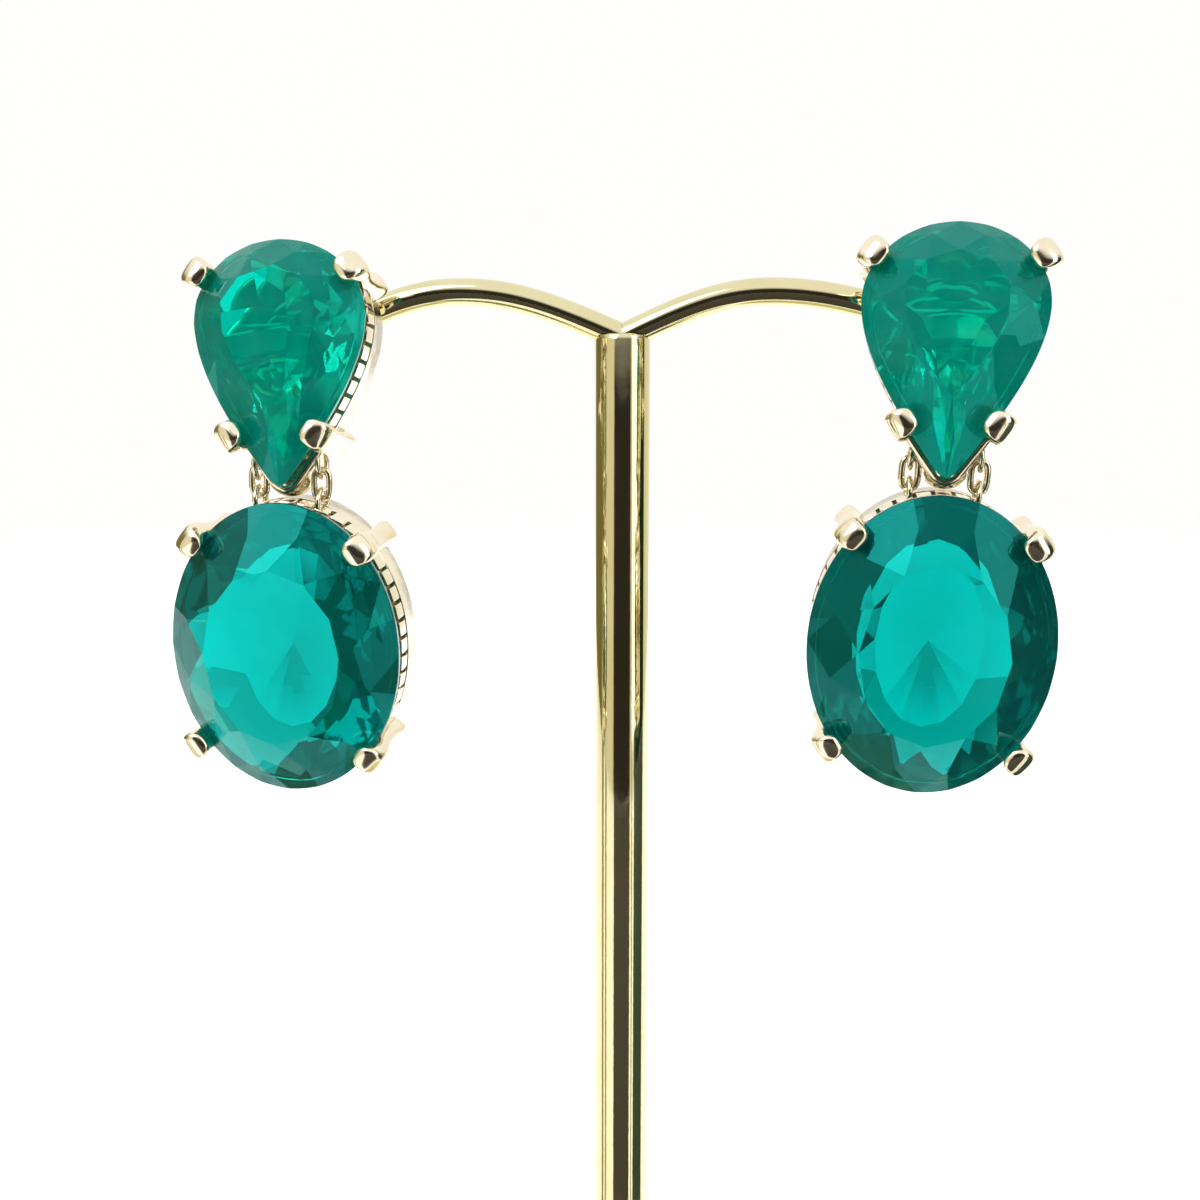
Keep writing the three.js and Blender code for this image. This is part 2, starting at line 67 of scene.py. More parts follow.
def oval_edge(s):
    angle = math.pi * (0.5 - s)
    return Vector((OVAL["half_width"] * math.cos(angle), OVAL["half_height"] * math.sin(angle)))


def bezier(points, t):
    a, b, c, d = points
    u = 1 - t
    return a * u**3 + b * (3 * u * u * t) + c * (3 * u * t * t) + d * t**3


# %% The edge of the pear
def even_table(points, steps=200):
    """Parameter values at even lengths along a Bezier curve."""
    spots = [bezier(points, n / steps) for n in range(steps + 1)]
    lengths = [0.0]
    for a, b in zip(spots, spots[1:]):
        lengths.append(lengths[-1] + (b - a).length)
    return [length / lengths[-1] for length in lengths]


PEAR_SIDE = [
    Vector((PEAR["half_width"], 0)),
    Vector((PEAR["half_width"], -SIDE_BEND["shoulder"] * PEAR["point_drop"])),
    Vector((SIDE_BEND["waist"] * PEAR["half_width"], -SIDE_BEND["waist_drop"] * PEAR["point_drop"])),
    Vector((PEAR["nose_width"], PEAR["nose_rise"] - PEAR["point_drop"])),
]
PEAR_SIDE_LENGTHS = even_table(PEAR_SIDE)


def pear_edge(s):
    if s <= HEAD_SHARE:
        angle = 0.5 * math.pi * (1 - s / HEAD_SHARE)
        return Vector((PEAR["half_width"] * math.cos(angle), PEAR["head_rise"] * math.sin(angle)))
    share = min(1.0, (s - HEAD_SHARE) / (NOSE_SHARE - HEAD_SHARE))
    table = PEAR_SIDE_LENGTHS
    n = max(1, next(k for k, length in enumerate(table) if length >= share - 1e-9))
    inside = (share - table[n - 1]) / (table[n] - table[n - 1])
    spot = bezier(PEAR_SIDE, (n - 1 + inside) / (len(table) - 1))
    if s <= NOSE_SHARE:
        return spot
    return spot.lerp(Vector((0, -PEAR["point_drop"])), (s - NOSE_SHARE) / (1 - NOSE_SHARE))


# %% Points off an edge
def outwards(edge, s):
    if s <= 0:
        return Vector((0, 1))
    if s >= 1:
        return Vector((0, -1))
    along = edge(min(1, s + 1e-3)) - edge(max(0, s - 1e-3))
    return Vector((-along.y, along.x)).normalized()


def on_edge(edge, s, sign, out, y):
    """A point at a distance outside the edge and at depth y, on the right or left side."""
    spot = edge(s) + outwards(edge, s) * out
    return Vector((sign * max(0.0, spot.x), y, spot.y))


print("pear tip", tuple(round(c, 2) for c in pear_edge(1)), "oval side", tuple(oval_edge(0.5)))

# %% [markdown]
# ## Where each stone hangs
# The solids are stored in place, so each stone's own frame is read back from its facets.
# The table is its largest flat face. Its two far corners give the stone's upright, and its
# normal gives the direction in which the stone looks.

# %% Stone frames
# Heights in millimetres. The table and the keel are shares of the outline, across and up.
CUT = {
    "oval": dict(
        edge=oval_edge, crown=2.3, table=(0.6, 0.6), girdle=0.5,
        pavilion=3.1, keel=(0.44, 0.58), keel_depth=1.1,
    ),
    "pear": dict(
        edge=pear_edge, crown=1.9, table=(0.56, 0.56), girdle=0.45,
        pavilion=3.0, keel=(0.36, 0.36), keel_depth=0.9,
    ),
}


def stone_frame(node, cut):
    mesh = nodes[node].data
    facets = {}
    for face in mesh.polygons:
        key = tuple(round(c, 2) for c in face.normal)
        facets.setdefault(key, []).append(face)
    table = max(facets.values(), key=lambda faces: sum(face.area for face in faces))
    corners = [mesh.vertices[v].co.copy() for face in table for v in face.vertices]
    middle = sum(corners, Vector()) / len(corners)
    low = max(corners, key=lambda c: ((c - middle).length, -c.z) if c.z < middle.z else (0, 0))
    top = max(corners, key=lambda c: (c - low).length)
    z = (top - low).normalized()
    y = -table[0].normal
    x = y.cross(z).normalized()
    z = x.cross(y)
    rise = cut["table"][1] * cut["edge"](0).y * MM
    origin = top - z * rise + y * (cut["crown"] + cut["girdle"] / 2) * MM
    turn = Matrix((x, y, z)).transposed().to_4x4()
    return Matrix.Translation(origin) @ turn @ Matrix.Scale(MM, 4)


PLACE = {}
for side in SIDES:
    for kind, cut in CUT.items():
        PLACE[side, kind] = stone_frame(f"{side}_{kind}_stone", cut)
        print(side, kind, "at", tuple(round(c * 1000, 2) for c in PLACE[side, kind].translation))

# %% [markdown]
# ## Making meshes and finishing pieces
# Helpers do the repeated work. One lays a skin over rings of points, and one turns a
# profile about an axis. Each merges points that meet and turns all faces outwards, so the
# mesh is closed. The last helper joins a piece's meshes into one object, hides the solid
# that it replaces and lets it ride on its body.

# %% Mesh helpers
def mesh_from(name, spots, faces):
    mesh = bpy.data.meshes.new(name)
    mesh.from_pydata([tuple(p) for p in spots], [], faces)
    mesh.validate()
    return mesh


def ring_mesh(name, rings, closed_path, caps=True):
    """A skin over rings of equally many points, each ring joined to the next."""
    count = len(rings[0])
    spots = [p for ring in rings for p in ring]
    faces = []
    last = len(rings) if closed_path else len(rings) - 1
    for k in range(last):
        a, b = k * count, ((k + 1) % len(rings)) * count
        faces += [(a + n, a + (n + 1) % count, b + (n + 1) % count, b + n) for n in range(count)]
    if caps and not closed_path:
        faces += [tuple(reversed(range(count))), tuple(range(len(spots) - count, len(spots)))]
    return tidy(mesh_from(name, spots, faces))


def tidy(mesh, merge=1e-4):
    work = bmesh.new()
    work.from_mesh(mesh)
    bmesh.ops.remove_doubles(work, verts=work.verts, dist=merge)
    bmesh.ops.dissolve_degenerate(work, edges=work.edges, dist=merge)
    bmesh.ops.recalc_face_normals(work, faces=work.faces)
    work.to_mesh(mesh)
    work.free()
    return mesh


def turned(name, profile, sides=96):
    """A body turned about the y axis from a profile of (radius, y) that starts and ends at radius 0."""
    rings = []
    for n in range(sides):
        angle = 2 * math.pi * n / sides
        rings.append([Vector((r * math.cos(angle), y, r * math.sin(angle))) for r, y in profile])
    return ring_mesh(name, rings, closed_path=True)


# %% Finishing a piece
def gather(name, meshes, place, node, material, smooth_below=35):
    """Joins meshes drawn in millimetres into one piece in metres. At smooth_below 0 faces stay flat."""
    work = bmesh.new()
    for mesh in meshes:
        work.from_mesh(mesh)
    mesh = bpy.data.meshes.new(name)
    work.to_mesh(mesh)
    work.free()
    mesh.transform(place)
    mesh.materials.clear()
    mesh.materials.append(material)
    mesh.polygons.foreach_set("material_index", [0] * len(mesh.polygons))
    if smooth_below:
        mesh.polygons.foreach_set("use_smooth", [True] * len(mesh.polygons))
        mesh.set_sharp_from_angle(angle=math.radians(smooth_below))
    piece = bpy.data.objects.new(name, mesh)
    bpy.context.scene.collection.objects.link(piece)
    body = next(b for b, members in frame["record"]["behaviour"]["bodies"].items() if node in members)
    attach(piece, body)
    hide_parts(node)
    print(name, "on", body, "faces:", len(mesh.polygons))
    return piece


# %% [markdown]
# ## A tree for wire and a tree for teeth
# Wire is one round section swept along a path: the stand's arms, the links and the eyelets
# all share that rule, so one tree draws them. The galleries carry a row of small teeth, cut
# by a graver at an even pitch, so a second tree sets one tooth at each step of a path.

# %% What every tree shares
def new_tree(name, inputs):
    tree = bpy.data.node_groups.new(name, "GeometryNodeTree")
    tree.interface.new_socket("Geometry", in_out="INPUT", socket_type="NodeSocketGeometry")
    tree.interface.new_socket("Geometry", in_out="OUTPUT", socket_type="NodeSocketGeometry")
    for label, kind, value in inputs:
        socket = tree.interface.new_socket(label, in_out="INPUT", socket_type=kind)
        if value is not None:
            socket.default_value = value
    return tree, tree.nodes.new("NodeGroupInput"), tree.nodes.new("NodeGroupOutput")


def finish_tree(tree, source, shape, output):
    """Every tree ends by realizing its instances and setting the material."""
    real = tree.nodes.new("GeometryNodeRealizeInstances")
    paint = tree.nodes.new("GeometryNodeSetMaterial")
    tree.links.new(shape, real.inputs[0])
    tree.links.new(real.outputs[0], paint.inputs["Geometry"])
    tree.links.new(source.outputs["Material"], paint.inputs["Material"])
    tree.links.new(paint.outputs[0], output.inputs[0])
    return tree


# %% The tree for wire
def wire_tree():
    tree, source, output = new_tree("Wire", [
        ("Radius", "NodeSocketFloat", 0.3),
        ("Sides", "NodeSocketInt", 20),
        ("Material", "NodeSocketMaterial", None),
    ])
    section = tree.nodes.new("GeometryNodeCurvePrimitiveCircle")
    sweep = tree.nodes.new("GeometryNodeCurveToMesh")
    sweep.inputs["Fill Caps"].default_value = True
    tree.links.new(source.outputs["Radius"], section.inputs["Radius"])
    tree.links.new(source.outputs["Sides"], section.inputs["Resolution"])
    tree.links.new(source.outputs["Geometry"], sweep.inputs["Curve"])
    tree.links.new(section.outputs["Curve"], sweep.inputs["Profile Curve"])
    return finish_tree(tree, source, sweep.outputs["Mesh"], output)


# %% The tree for teeth
def teeth_tree():
    tree, source, output = new_tree("Teeth", [
        ("Pitch", "NodeSocketFloat", 1.1),
        ("Tooth", "NodeSocketVector", (0.8, 0.8, 0.5)),
        ("Crispness", "NodeSocketFloat", 0.7),
        ("Seed", "NodeSocketInt", 4),
        ("Material", "NodeSocketMaterial", None),
    ])
    new, link = tree.nodes.new, tree.links.new
    steps = new("GeometryNodeResampleCurve")
    steps.mode = "LENGTH"
    tangent = new("GeometryNodeInputTangent")
    axes = new("FunctionNodeAxesToRotation")
    axes.primary_axis, axes.secondary_axis = "X", "Y"
    axes.inputs["Secondary Axis"].default_value = (0, 1, 0)
    cube = new("GeometryNodeMeshCube")
    soft = new("GeometryNodeSubdivisionSurface")
    soft.inputs["Level"].default_value = 2
    spread = new("FunctionNodeRandomValue")
    spread.data_type = "FLOAT"
    spread.inputs[2].default_value = 0.9
    spread.inputs[3].default_value = 1.08
    copies = new("GeometryNodeInstanceOnPoints")
    link(source.outputs["Geometry"], steps.inputs["Curve"])
    link(source.outputs["Pitch"], steps.inputs["Length"])
    link(tangent.outputs["Tangent"], axes.inputs["Primary Axis"])
    link(source.outputs["Tooth"], cube.inputs["Size"])
    link(cube.outputs["Mesh"], soft.inputs["Mesh"])
    link(source.outputs["Crispness"], soft.inputs["Edge Crease"])
    link(steps.outputs["Curve"], copies.inputs["Points"])
    link(soft.outputs["Mesh"], copies.inputs["Instance"])
    link(axes.outputs["Rotation"], copies.inputs["Rotation"])
    link(source.outputs["Seed"], spread.inputs["Seed"])
    link(spread.outputs[1], copies.inputs["Scale"])
    return finish_tree(tree, source, copies.outputs["Instances"], output)


# %% Running a tree on a curve
def curve_mesh(name, paths, tree, values, closed=False):
    """Runs a tree on a curve of one or more paths and returns the plain mesh that it makes."""
    curve = bpy.data.curves.new(name, "CURVE")
    curve.dimensions = "3D"
    for path in paths:
        spline = curve.splines.new("POLY")
        spline.points.add(len(path) - 1)
        for point, spot in zip(spline.points, path):
            point.co = (*spot, 1)
        spline.use_cyclic_u = closed
    holder = bpy.data.objects.new(name, curve)
    bpy.context.scene.collection.objects.link(holder)
    modifier = holder.modifiers.new(tree.name, "NODES")
    modifier.node_group = tree
    sockets = {s.name: s.identifier for s in tree.interface.items_tree if s.in_out == "INPUT"}
    for label, value in values.items():
        modifier[sockets[label]] = value
    view = bpy.context.evaluated_depsgraph_get()
    mesh = bpy.data.meshes.new_from_object(holder.evaluated_get(view), depsgraph=view)
    bpy.data.objects.remove(holder)
    return tidy(mesh, merge=1e-6)


WIRE = wire_tree()
TEETH = teeth_tree()
print("trees:", [tree.name for tree in (WIRE, TEETH)])

# %% [markdown]
# ## The metals
# The settings are a pale, warm gold with a mirror polish. A real polish is never perfect:
# fine lines from the buffing wheel, a faint waviness and a little dulling keep it from
# looking like liquid. Noise at three scales drives the roughness and a very small bump.

# %% Shader helpers
def shader_material(name):
    material = bpy.data.materials.new(name)
    material.use_nodes = True
    tree = material.node_tree
    return material, tree, tree.nodes["Principled BSDF"]


def noise(tree, scale, detail=4.0, stretch=(1, 1, 1)):
    """Noise on Object coordinates, with its scale counted in ripples per metre."""
    place = tree.nodes.new("ShaderNodeTexCoord")
    mapping = tree.nodes.new("ShaderNodeMapping")
    mapping.inputs["Scale"].default_value = stretch
    texture = tree.nodes.new("ShaderNodeTexNoise")
    texture.inputs["Scale"].default_value = scale
    texture.inputs["Detail"].default_value = detail
    tree.links.new(place.outputs["Object"], mapping.inputs["Vector"])
    tree.links.new(mapping.outputs["Vector"], texture.inputs["Vector"])
    return texture.outputs["Fac"]


def ramp(tree, source, stops):
    """Maps a number through (place, value) or (place, colour) stops."""
    node = tree.nodes.new("ShaderNodeValToRGB")
    while len(node.color_ramp.elements) < len(stops):
        node.color_ramp.elements.new(0.5)
    for element, (place, value) in zip(node.color_ramp.elements, stops):
        element.position = place
        element.color = (*value, 1) if isinstance(value, tuple) else (value, value, value, 1)
    tree.links.new(source, node.inputs["Fac"])
    return node.outputs["Color"]


def bump(tree, source, strength, distance, under=None):
    node = tree.nodes.new("ShaderNodeBump")
    node.inputs["Strength"].default_value = strength
    node.inputs["Distance"].default_value = distance
    tree.links.new(source, node.inputs["Height"])
    if under is not None:
        tree.links.new(under, node.inputs["Normal"])
    return node.outputs["Normal"]


# %% The metals
def polished_metal(name, pale, deep, rough_low, rough_high, waves=0.12, grain=(1, 1, 1)):
    material, tree, shader = shader_material(name)
    shader.inputs["Metallic"].default_value = 1.0
    tint = noise(tree, 260, 3)
    tree.links.new(ramp(tree, tint, [(0.35, pale), (0.7, deep)]), shader.inputs["Base Color"])
    wear = noise(tree, 1400, 6, grain)
    tree.links.new(ramp(tree, wear, [(0.3, rough_low), (0.75, rough_high)]), shader.inputs["Roughness"])
    wavy = bump(tree, noise(tree, 420, 2), waves, 0.0002)
    lines = bump(tree, noise(tree, 9000, 2, grain), 0.05, 0.00002, under=wavy)
    tree.links.new(lines, shader.inputs["Normal"])
    return material


SETTING_GOLD = polished_metal("pale_gold_polish", (0.88, 0.80, 0.62), (0.82, 0.73, 0.54), 0.08, 0.22)
STAND_METAL = polished_metal(
    "stand_polish", (0.75, 0.69, 0.43), (0.71, 0.64, 0.37), 0.03, 0.09, waves=0.04, grain=(1, 1, 0.15)
)
print("metals:", SETTING_GOLD.name, STAND_METAL.name)

# %% [markdown]
# ## What the stones are made of
# A green stone is clear, so its look comes from light bent at the facets and from colour
# taken up on the way through: short paths stay bright, long ones go deep. A surface colour
# alone can't do that, so the colour sits in a volume. Natural stones also have misty veils,
# which come from stretched noise in a small share of ordinary scattering.

# %% Stone materials
def gem_material(name, glow, tint, strength, clear, veil_scale, stretch):
    material, tree, shader = shader_material(name)
    shader.inputs["Transmission Weight"].default_value = clear
    shader.inputs["IOR"].default_value = 1.63
    shader.inputs["Roughness"].default_value = 0.0
    shader.inputs["Specular Tint"].default_value = (0.03, 1.0, 0.9, 1)
    shader.inputs["Specular IOR Level"].default_value = 0.15
    misty = tuple(0.04 + 0.96 * c for c in glow)
    half_way = tuple((g + m) / 2 for g, m in zip(glow, misty))
    cloud = noise(tree, veil_scale, 5, stretch)
    veil = ramp(tree, cloud, [(0.40, glow), (0.56, half_way), (0.68, misty)])
    tree.links.new(veil, shader.inputs["Base Color"])
    depth = tree.nodes.new("ShaderNodeVolumeAbsorption")
    depth.inputs["Color"].default_value = (*tint, 1)
    depth.inputs["Density"].default_value = strength
    output = next(node for node in tree.nodes if node.type == "OUTPUT_MATERIAL")
    tree.links.new(depth.outputs["Volume"], output.inputs["Volume"])
    return material


# The colour of the surface, the colour of the depth, how fast the depth colours, how clear it is
PEAR_GEM = gem_material("emerald_pear", (0.0, 0.65, 0.525), (0.02, 0.87, 0.83), 370, 0.80, 260, (1, 1, 2.6))
OVAL_GEM = gem_material("teal_oval", (0.0, 0.63, 0.59), (0.02, 0.83, 0.82), 600, 0.93, 120, (1, 1, 1))
print("stones:", PEAR_GEM.name, OVAL_GEM.name)

# %% [markdown]
# ## How the stones are cut
# Each side of a stone has main facets that reach from the girdle towards the middle, halves
# along the girdle and stars between the mains. The plane of a main holds the tangent of the
# edge at its foot, so two neighbours meet on a line, and every other facet hangs on the
# point of that line at a chosen height. The back is steep near the girdle, where it mirrors
# light and looks dark, and shallow in the middle, where light passes and a window opens.

# %% Planes of the main facets
FINE = 96  # points on half the girdle
CROWN_MAINS = 12
BACK_MAINS = {"pear": 8, "oval": 16}
STAR_RISE, LOWER_HALF_REACH = 0.5, 0.6


def plane_cut(first, second, y):
    """Where the planes of two mains cross at depth y. A main is (foot, head, normal, foot_y, head_y)."""
    rows = []
    for foot, head, normal, foot_y, head_y in (first, second):
        spot = foot.lerp(head, (y - foot_y) / (head_y - foot_y))
        rows.append((normal, spot.dot(normal)))
    (a, p), (b, q) = rows
    det = a.x * b.y - a.y * b.x
    return Vector(((p * b.y - q * a.y) / det, (a.x * q - b.x * p) / det))


def depth_on_plane(a, b, c, spot):
    normal = (b - a).cross(c - a)
    return a.y - (normal.x * (spot.x - a.x) + normal.z * (spot.y - a.z)) / normal.y


# %% One side of a stone
def cut_side(edge, mains, girdle_y, head_y, head_share, meet_y, tip_y=None):
    """One side of a stone: its rim points and its facets. With tip_y its middle comes to a point."""
    per_half = FINE // mains

    def at(n):
        turn = n % (2 * FINE)
        s = turn / FINE if turn <= FINE else 2 - turn / FINE
        way = 1 if turn <= FINE else -1
        spot, normal = edge(s), outwards(edge, s)
        return Vector((0 if turn % FINE == 0 else way * spot.x, spot.y)), Vector((way * normal.x, normal.y))

    def high(spot, y):
        return Vector((spot.x, y, spot.y))

    sides = []
    for k in range(mains):
        foot, normal = at(2 * per_half * k)
        sides.append((foot, foot * Vector(head_share), normal, girdle_y, head_y))
    meets = [high(plane_cut(sides[k], sides[(k + 1) % mains], meet_y), meet_y) for k in range(mains)]
    rim, facets = [], []
    for k in range(mains):
        foot, after = high(sides[k][0], girdle_y), high(sides[(k + 1) % mains][0], girdle_y)
        middle = high(at((2 * k + 1) * per_half)[0], girdle_y)
        for half, (start, end) in enumerate(((foot, middle), (middle, after))):
            spots = [at((2 * k + half) * per_half + n)[0] for n in range(per_half + 1)]
            arc = [high(spot, depth_on_plane(start, end, meets[k], spot)) for spot in spots]
            facets.append([meets[k]] + arc)
            rim += arc[:-1]
        head, next_head = high(sides[k][1], head_y), high(sides[(k + 1) % mains][1], head_y)
        facets.append([head, meets[k - 1], foot, meets[k]])
        facets.append([head, meets[k], next_head])
        if tip_y is not None:
            facets.append([head, next_head, Vector((0, tip_y, 0))])
    if tip_y is None:
        facets.append([high(side[1], head_y) for side in sides])
    return rim, facets


# %% Whole stones
def cut_stone(name, cut, crown_mains, back_mains):
    g = cut["girdle"] / 2
    face, star_y = -g - cut["crown"], -g - STAR_RISE * cut["crown"]
    keel, half_y = g + cut["pavilion"], g + LOWER_HALF_REACH * cut["pavilion"]
    top = cut_side(cut["edge"], crown_mains, -g, face, cut["table"], star_y)
    back = cut_side(cut["edge"], back_mains, g, keel, cut["keel"], half_y, keel + cut["keel_depth"])
    facets = top[1] + back[1]
    band = len(facets)
    for n in range(len(top[0])):
        after = (n + 1) % len(top[0])
        facets.append([top[0][n], top[0][after], back[0][after], back[0][n]])
    spots, faces = [], []
    for facet in facets:
        faces.append(tuple(range(len(spots), len(spots) + len(facet))))
        spots += facet
    mesh = mesh_from(name, spots, faces)
    mesh.polygons.foreach_set("use_smooth", [n >= band for n in range(len(faces))])
    return tidy(mesh, merge=1e-3)


for side in SIDES:
    for kind, gem in (("pear", PEAR_GEM), ("oval", OVAL_GEM)):
        stone = cut_stone(f"{kind}_cut", CUT[kind], CROWN_MAINS, BACK_MAINS[kind])
        node, place = f"{side}_{kind}_stone", PLACE[side, kind]
        gather(f"{side}_{kind}_gem", [stone], place, node, gem, smooth_below=0)

# %% [markdown]
# ## Gallery walls
# The wall that a stone sits in is a low fence of metal around its edge, smooth outside,
# with a row of graver-cut teeth on its front rim. The fence is lofted around the outline,
# and the teeth are set on it by the second tree, in stretches that stop short of the claws.

# %% Gallery wall
WALL = dict(inset=0.3, thickness=0.9, front=0.95, back=5.0)
LEDGE = dict(out=-0.1, step=0.4, depth=1.75)
TOOTH = dict(pitch=1.1, length=1.06, depth=1.4, width=0.5)


def wall_section():
    """Closed section of the wall as (distance outside the edge, depth), with a step for the teeth."""
    outer, inner = -WALL["inset"], -WALL["inset"] - WALL["thickness"]
    lip, front, back = LEDGE["out"], WALL["front"], WALL["back"]
    step, under = lip - LEDGE["step"], front + LEDGE["depth"]
    shelf = front + TOOTH["depth"]
    return [
        (inner + 0.16, front), (step - 0.1, front), (step, front + 0.1), (step, shelf - 0.1),
        (lip - 0.06, shelf - 0.04), (lip, shelf + 0.04), (lip, under - 0.16), (lip - 0.05, under - 0.04),
        (outer + 0.02, under), (outer, under + 0.08), (outer, back - 0.3), (outer - 0.09, back - 0.09),
        (outer - 0.3, back), (inner + 0.2, back), (inner + 0.05, back - 0.06), (inner, back - 0.2),
        (inner, front + 0.16),
    ]


def gallery_wall(name, edge, stations=144):
    rings = []
    section = wall_section()
    for sign, shares in ((1, range(stations + 1)), (-1, range(stations - 1, 0, -1))):
        for n in shares:
            rings.append([on_edge(edge, n / stations, sign, out, y) for out, y in section])
    return ring_mesh(name, rings, closed_path=True)


# %% Teeth on the rim
CLAWS = {"oval": (0.245, 0.735), "pear": (0.26, 0.785)}  # where the claws stand, as shares of the edge
CLAW_CLEARANCE = 1.3


def teeth_paths(edge, claws, y, fine=400):
    """The stretches of the rim between the claws, each as a list of points."""
    out = LEDGE["out"] - TOOTH["width"] / 2
    turn = [(n / fine, 1) for n in range(fine)] + [(n / fine, -1) for n in range(fine, 0, -1)]
    stops = [on_edge(edge, s, sign, 0, 0) for s in claws for sign in (1, -1)]
    paths, path = [], []
    for s, sign in turn:
        spot = on_edge(edge, s, sign, out, y)
        flat = Vector((spot.x, 0, spot.z))
        if min((flat - stop).length for stop in stops) < CLAW_CLEARANCE:
            if len(path) > 3:
                paths.append(path)
            path = []
        else:
            path.append(spot)
    if path and paths:
        paths[0] = path + paths[0]
    return paths


def gallery_teeth(name, kind):
    edge, y = CUT[kind]["edge"], WALL["front"] + TOOTH["depth"] / 2
    paths = teeth_paths(edge, CLAWS[kind], y)
    values = {
        "Pitch": TOOTH["pitch"],
        "Tooth": (TOOTH["length"], TOOTH["depth"], TOOTH["width"]),
        "Material": SETTING_GOLD,
    }
    return curve_mesh(name, paths, TEETH, values)


print("runs of teeth on an oval:", len(teeth_paths(oval_edge, CLAWS["oval"], WALL["front"])))

# %% [markdown]
# ## Claws
# Each claw is a post that stands against the wall, thickens at the girdle and bends over
# the stone's edge, where it is filed to a rounded tip. It is drawn as a row of oval
# sections along a bent path, and its foot is the round swelling on the back rail.

# %% Claws
CLAW_SQUARENESS = 0.6
# Each row: distance outside the edge, depth, half width along the edge, half thickness
CLAW_ROWS = [
    (0.08, 5.0, 0.20, 0.20), (0.10, 4.93, 0.64, 0.64), (0.12, 4.5, 0.90, 0.88), (0.10, 4.0, 0.88, 0.86),
    (0.04, 3.4, 0.80, 0.78), (0.04, 2.4, 0.80, 0.74), (0.14, 1.3, 0.84, 0.70), (0.36, 0.5, 0.90, 0.62),
    (0.54, -0.2, 0.96, 0.64), (0.58, -0.75, 1.04, 0.72), (0.44, -1.2, 1.06, 0.72), (0.12, -1.5, 1.00, 0.58),
    (-0.26, -1.60, 0.86, 0.42), (-0.54, -1.56, 0.58, 0.26), (-0.64, -1.50, 0.16, 0.08),
]


def claw(name, edge, s, sign, sides=14):
    normal = outwards(edge, s)
    out_way = Vector((sign * normal.x, 0, normal.y))
    back = Vector((0, 1, 0))
    along = out_way.cross(back)
    base = on_edge(edge, s, sign, 0, 0)
    middles = [base + out_way * out + back * y for out, y, wide, thick in CLAW_ROWS]
    rings = []
    for n, (out, y, wide, thick) in enumerate(CLAW_ROWS):
        ahead = middles[min(n + 1, len(middles) - 1)] - middles[max(n - 1, 0)]
        across = along.cross(ahead).normalized()
        ring = []
        for k in range(sides):
            angle = 2 * math.pi * k / sides
            c, d = (math.copysign(abs(v) ** CLAW_SQUARENESS, v) for v in (math.cos(angle), math.sin(angle)))
            ring.append(middles[n] + along * (wide * c) + across * (thick * d))
        rings.append(ring)
    return smoothed(ring_mesh(name, rings, closed_path=False), 2)


def smoothed(mesh, levels):
    """The mesh after that many rounds of Subdivision Surface."""
    holder = bpy.data.objects.new(mesh.name, mesh)
    bpy.context.scene.collection.objects.link(holder)
    modifier = holder.modifiers.new("Subdivision", "SUBSURF")
    modifier.levels = modifier.render_levels = levels
    view = bpy.context.evaluated_depsgraph_get()
    finer = bpy.data.meshes.new_from_object(holder.evaluated_get(view), depsgraph=view)
    bpy.data.objects.remove(holder)
    return finer


def claws(kind):
    edge = CUT[kind]["edge"]
    return [claw(f"{kind}_claw", edge, s, sign) for s in CLAWS[kind] for sign in (1, -1)]


print("each claw bends", -CLAW_ROWS[-1][0], "mm over the edge of its stone")

# %% [markdown]
# ## Eyelets
# The eyelets are small rings soldered to the galleries, edge on to the front. A pair at the
# lower end of the pear faces a pair at the top of the oval. They are bent from round wire,
# which the wire tree draws, so a circle as the path is all that they need.

# %% Eyelets
EYELET = dict(radius=0.9, wire=0.38, out=0.55, back=2.1, place=0.862, oval_rise=0.45)
PEAR_EYELET = pear_edge(EYELET["place"]) + outwards(pear_edge, EYELET["place"]) * EYELET["out"]
SPREAD = PEAR_EYELET.x
WALL_TOP = (OVAL["half_height"] - WALL["inset"]) * math.sqrt(
    1 - (SPREAD / (OVAL["half_width"] - WALL["inset"])) ** 2
)
OVAL_EYELET_Z = WALL_TOP + EYELET["oval_rise"]


def circle_path(middle, radius, steps=48):
    turns = [2 * math.pi * n / steps for n in range(steps)]
    return [middle + Vector((0, radius * math.cos(a), radius * math.sin(a))) for a in turns]


def eyelets(name, height):
    middles = [Vector((sign * SPREAD, EYELET["back"], height)) for sign in (1, -1)]
    paths = [circle_path(middle, EYELET["radius"]) for middle in middles]
    values = {"Radius": EYELET["wire"] / 2, "Sides": 18, "Material": SETTING_GOLD}
    return curve_mesh(name, paths, WIRE, values, closed=True)


print("eyelets stand", round(2 * SPREAD, 2), "mm apart")

# %% [markdown]
# ## The rim and the cup at the pear's point
# Round its point the pear's basket looks wider than elsewhere, and it ends in a small
# rounded cup below the stone. A thicker wire along the rim and a turned ball, flattened by
# a scale on each axis, make both without a change to the wall.

# %% Rim and cup
RAIL = dict(start=0.79, out=0.12, depth=1.3, radius=0.36)


def tip_rail():
    """The thicker rim that runs from the lower claws to the point of the pear."""
    shares = [RAIL["start"] + (1 - RAIL["start"]) * n / 24 for n in range(25)]
    half = [on_edge(pear_edge, s, 1, RAIL["out"], RAIL["depth"]) for s in shares]
    path = half + [Vector((-p.x, p.y, p.z)) for p in reversed(half[:-1])]
    values = {"Radius": RAIL["radius"], "Sides": 20, "Material": SETTING_GOLD}
    return curve_mesh("tip_rail", [path], WIRE, values)


# The first three are half sizes. The drop and the back move the middle of the ball.
CUP = dict(width=1.45, depth=1.5, height=1.0, drop=0.5, back=2.3)


